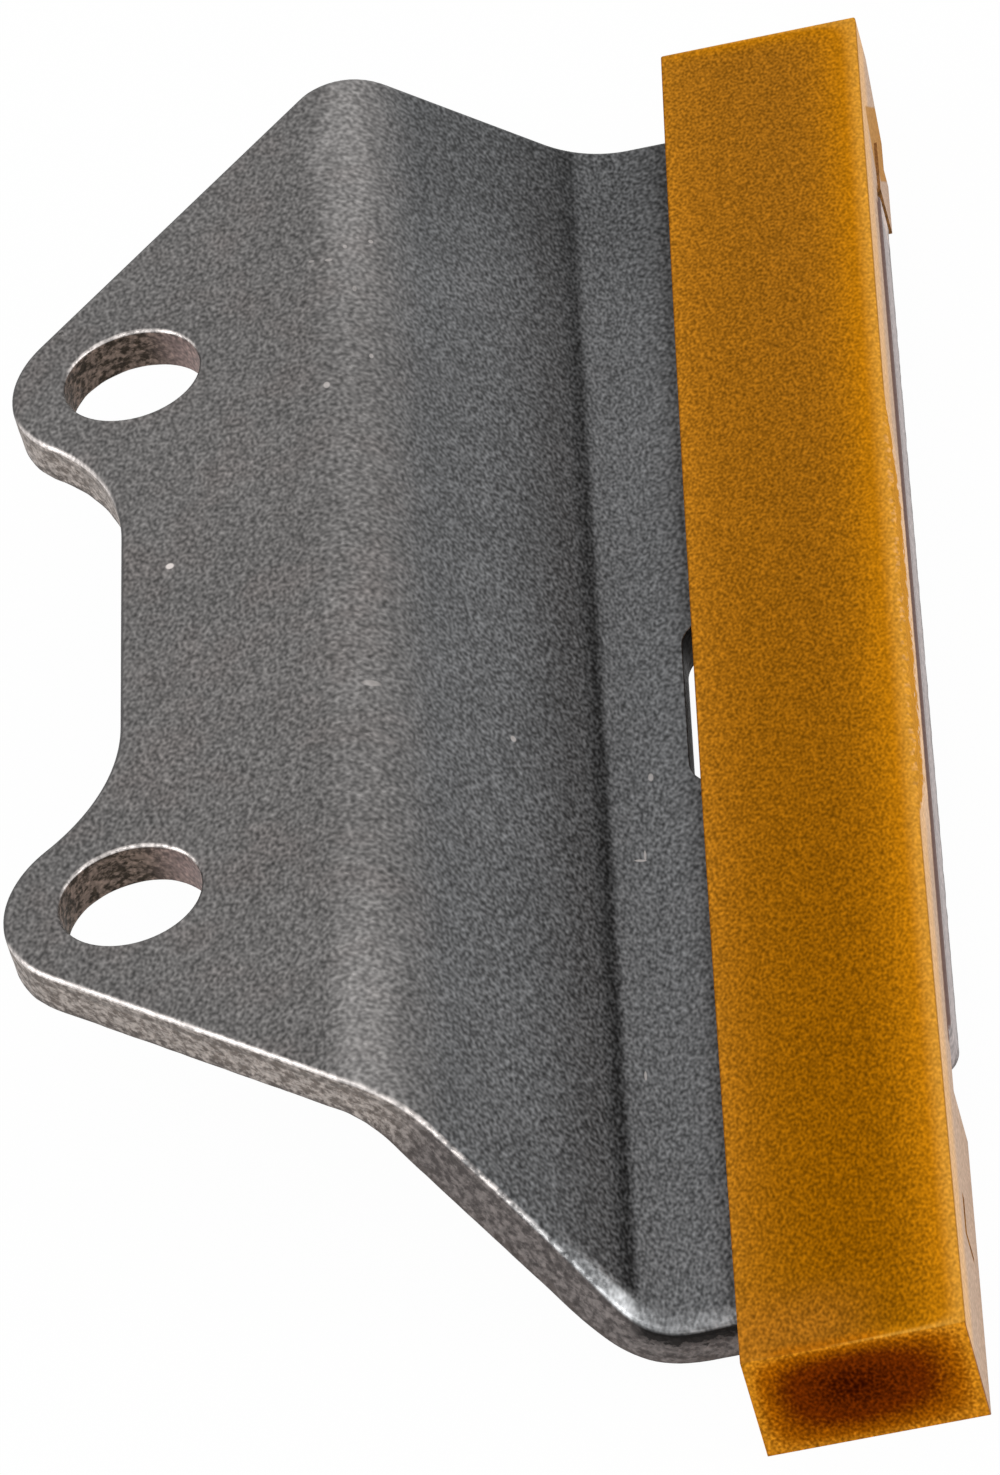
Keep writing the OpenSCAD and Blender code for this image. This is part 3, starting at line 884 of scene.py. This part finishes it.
# right side: pale with a painted sheen, painted shade lower down and at the foot beside the flange, a
# brown edge line, the overhang's lip and the slit's border
def rightSide(look):
    y, fromTop, aboveFlange = look.y, look.fromTop, look.aboveFlange
    matt = mattPatch(look)
    # painted sheen on the side, with painted shade lower down
    side = look.mix(fromTop.step(1.6, 3.6), nylonLook["side"], nylonLook["sideLowShade"])
    border = look.mix(matt, nylonLook["edge"], nylonLook["matt"])
    side = look.mix(matt.most(fromTop.fade(0.15, 0.6)), side, border)
    over = y.band(*nylonLook["overhangY"])
    deep, uneven = nylonLook["overhangDeep"]
    lip = (deep + (look.torn - 0.5) * uneven) * over - fromTop
    side = look.mix(over * 0.85, side, nylonLook["peach"])
    side = look.mix(lip.step(-0.2, 0.2), side, nylonLook["overhang"])
    # painted shade along the foot, next to the flange
    foot = aboveFlange.band(0.0, 0.4, 0.15) * y.band(-41.0, 43.0, 0.5)
    side = look.mix(foot * 0.85, side, nylonLook["foot"])
    slitY, slitRun, slitDrop, slitWide = shoe["slit"]
    level = aboveFlange.band(-slitWide, 0.0, 0.2) * y.band(slitY, slitY + slitRun, 0.2)
    upright = aboveFlange.band(-slitDrop, 0.0, 0.2) * y.band(slitY, slitY + slitWide, 0.2)
    return look.mix(level.most(upright), side, nylonLook["slit"])


def nylonFinish():
    look = nylonGround()
    toRight, toFar, upward = look.facing
    end = endFace(look)
    colour = look.mix((toFar * toFar).step(0.5, 0.9), runningFace(look), end)
    inward = look.fromNear.least(look.fromFar).step(2.0, 4.0)
    below = look.mix(inward, end, nylonLook["ledge"])
    colour = look.mix(look.aboveFlange.fade(-0.3, -0.1), colour, below)
    onSide = toRight.step(0.6, 0.95)
    colour = look.mix(onSide, colour, rightSide(look))
    colour = look.mix((toRight * toFar * -2).step(0.5, 0.9), colour, nylonLook["corner"])
    # painted highlight along the bevel between the running face and the near end, on its right part
    bevelHighlight = (toFar * upward * -2).step(0.5, 0.9) * look.fromRight.fade(5.0, 9.0) * 0.6
    colour = look.mix(bevelHighlight, colour, nylonLook["rim"])
    atRim = look.within.fade(0.2, 0.7) * upward.step(0.5, 0.9)
    calm = onSide.most(atRim * 0.6) * 0.6   # less grain there
    colour = look.shaded(colour, look.speckle + calm * (1 - look.speckle))
    rough = nylonLook["rough"] + (look.grain - 0.5) * 0.2
    normal = look.add("Bump", None, {"Strength": 0.15, "Distance": 0.0001, "Height": look.grain})
    return look.surface(Base_Color=colour, Roughness=rough, Normal=normal, Specular_IOR_Level=0.0)


# floor height in mm and size in m, just clear of the shoe's underside
stage = {
    "floorZ": shoeLow.z - 0.02, "size": 6.0, "pale": srgb(232, 232, 230),
    "whiteShare": 0.975, "worldLight": 0.85,
}


# 1 for the rays that see the background itself
def rayMask(look):
    rays = look.add("LightPath").socket.node.outputs
    seen = [Wire(look, rays[name]) for name in ("Is Camera Ray", "Is Glossy Ray", "Is Transmission Ray")]
    return seen[0].most(seen[1]).most(seen[2])


def floorFinish():
    look = Finish(bpy.data.materials.new("paleFloor"))
    diffuse = look.add("BsdfDiffuse", None, {"Color": stage["pale"]})
    white = look.add("Emission", None, {"Color": (1, 1, 1, 1), "Strength": 1.0})
    mixed = look.add("MixShader", None, {0: rayMask(look) * stage["whiteShare"], 1: diffuse, 2: white})
    look.add("OutputMaterial", None, {"Surface": mixed})
    return look.owner


def makeFloor():
    half = stage["size"] / 2
    mesh = bpy.data.meshes.new("studioFloor")
    corners = [(-half, -half, 0), (half, -half, 0), (half, half, 0), (-half, half, 0)]
    mesh.from_pydata(corners, [], [(0, 1, 2, 3)])
    mesh.materials.append(floorFinish())
    floor = bpy.data.objects.new("studioFloor", mesh)
    floor.location.z = stage["floorZ"] * mm
    bpy.context.scene.collection.objects.link(floor)


# even light from all round, white where the camera sees it
def makeWorld():
    look = Finish(bpy.data.worlds.new("softRoom"))
    seen = look.add("LightPath", None, None, "Is Camera Ray")
    strength = stage["worldLight"] + seen * (1 - stage["worldLight"])
    room = look.add("Background", None, {"Color": (1, 1, 1, 1), "Strength": strength})
    look.add("OutputWorld", None, {"Surface": room})
    bpy.context.scene.world = look.owner


lamps = {
    "leftBox": {"at": (-0.85, -0.15, 0.5), "side": 0.6, "watts": 2.2},
    "frontBox": {"at": (-0.12, -0.6, 0.75), "side": 0.35, "watts": 0.8},
    "rightBox": {"at": (0.7, -0.15, 0.3), "side": 0.4, "watts": 1.0},
}


def makeLamps():
    for name, lamp in lamps.items():
        data = bpy.data.lights.new(name, "AREA")
        data.shape = "SQUARE"
        data.size = lamp["side"]
        data.energy = lamp["watts"]
        light = bpy.data.objects.new(name, data)
        light.location = lamp["at"]
        light.rotation_euler = (-Vector(lamp["at"])).to_track_quat("-Z", "Y").to_euler()
        bpy.context.scene.collection.objects.link(light)
    print("stage lit by", len(lamps), "lamps")


camera = {
    "place": (0.1073, -0.5363, 0.4172), "turnDeg": (50.5039, 13.1494, -1.4108),
    "lens": 267.99, "sensor": 36.0,
}


def makeCamera():
    data = bpy.data.cameras.new("photoCamera")
    data.lens = camera["lens"]
    data.sensor_width = camera["sensor"]
    data.clip_start = 0.01
    eye = bpy.data.objects.new("photoCamera", data)
    eye.location = camera["place"]
    eye.rotation_euler = [math.radians(a) for a in camera["turnDeg"]]
    bpy.context.scene.collection.objects.link(eye)
    bpy.context.scene.camera = eye


makeCamera()
makeFloor()
makeWorld()
makeLamps()
makeBracket().data.materials.append(steelFinish())
makeShoe().data.materials.append(nylonFinish())
bpy.context.scene.view_settings.view_transform = "Standard"
print("finishes made")
